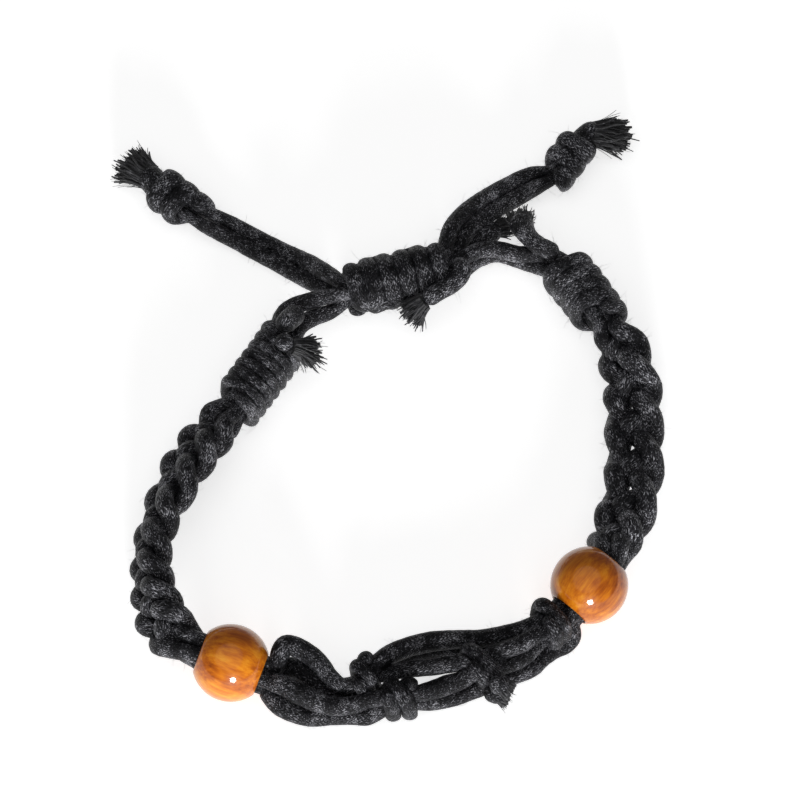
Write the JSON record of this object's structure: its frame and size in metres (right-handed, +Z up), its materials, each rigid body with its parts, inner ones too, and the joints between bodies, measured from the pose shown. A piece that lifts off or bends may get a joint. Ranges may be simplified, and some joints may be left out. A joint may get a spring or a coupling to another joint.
{
  "type": "cord bracelet",
  "caption": "Adjustable cord bracelet with wooden beads, flat braids, an open knotted net, and a sliding knot with loose tasselled ends.",
  "frame": {"origin": "middle of the loop's bounding box, without the loose drawcords, on the surface it lies on", "axes": "+Z up from the surface, +X to the right as seen from the net side, +Y from the net towards the sliding knot"},
  "size_m": [0.0704, 0.0888, 0.01],
  "materials": {
    "cord": "near-black waxed cotton",
    "wood": "amber stain under a gloss varnish"
  },
  "bodies": {
    "root": {"left_bead": "wood", "right_bead": "wood", "left_braid_cord_1": "cord", "left_braid_cord_2": "cord", "left_braid_cord_3": "cord", "left_braid_cord_4": "cord", "right_braid_cord_1": "cord", "right_braid_cord_2": "cord", "right_braid_cord_3": "cord", "right_braid_cord_4": "cord", "net_cord_1": "cord", "net_cord_2": "cord", "net_cord_3": "cord", "net_cord_4": "cord", "net_cord_5": "cord", "net_knot_1": "cord", "net_knot_2": "cord", "net_knot_3": "cord", "net_knot_4": "cord", "net_cut_ends": "cord", "left_wrapped_knot": "cord", "right_wrapped_knot": "cord", "left_cut_ends": "cord", "right_cut_ends": "cord", "sliding_knot": "cord", "sliding_knot_cut_ends": "cord", "left_drawcord_1": "cord", "left_drawcord_2": "cord", "right_drawcord_1": "cord", "right_drawcord_2": "cord", "left_end_knot": "cord", "right_end_knot": "cord", "left_tassel": "cord", "right_tassel": "cord"}
  },
  "joints": []
}
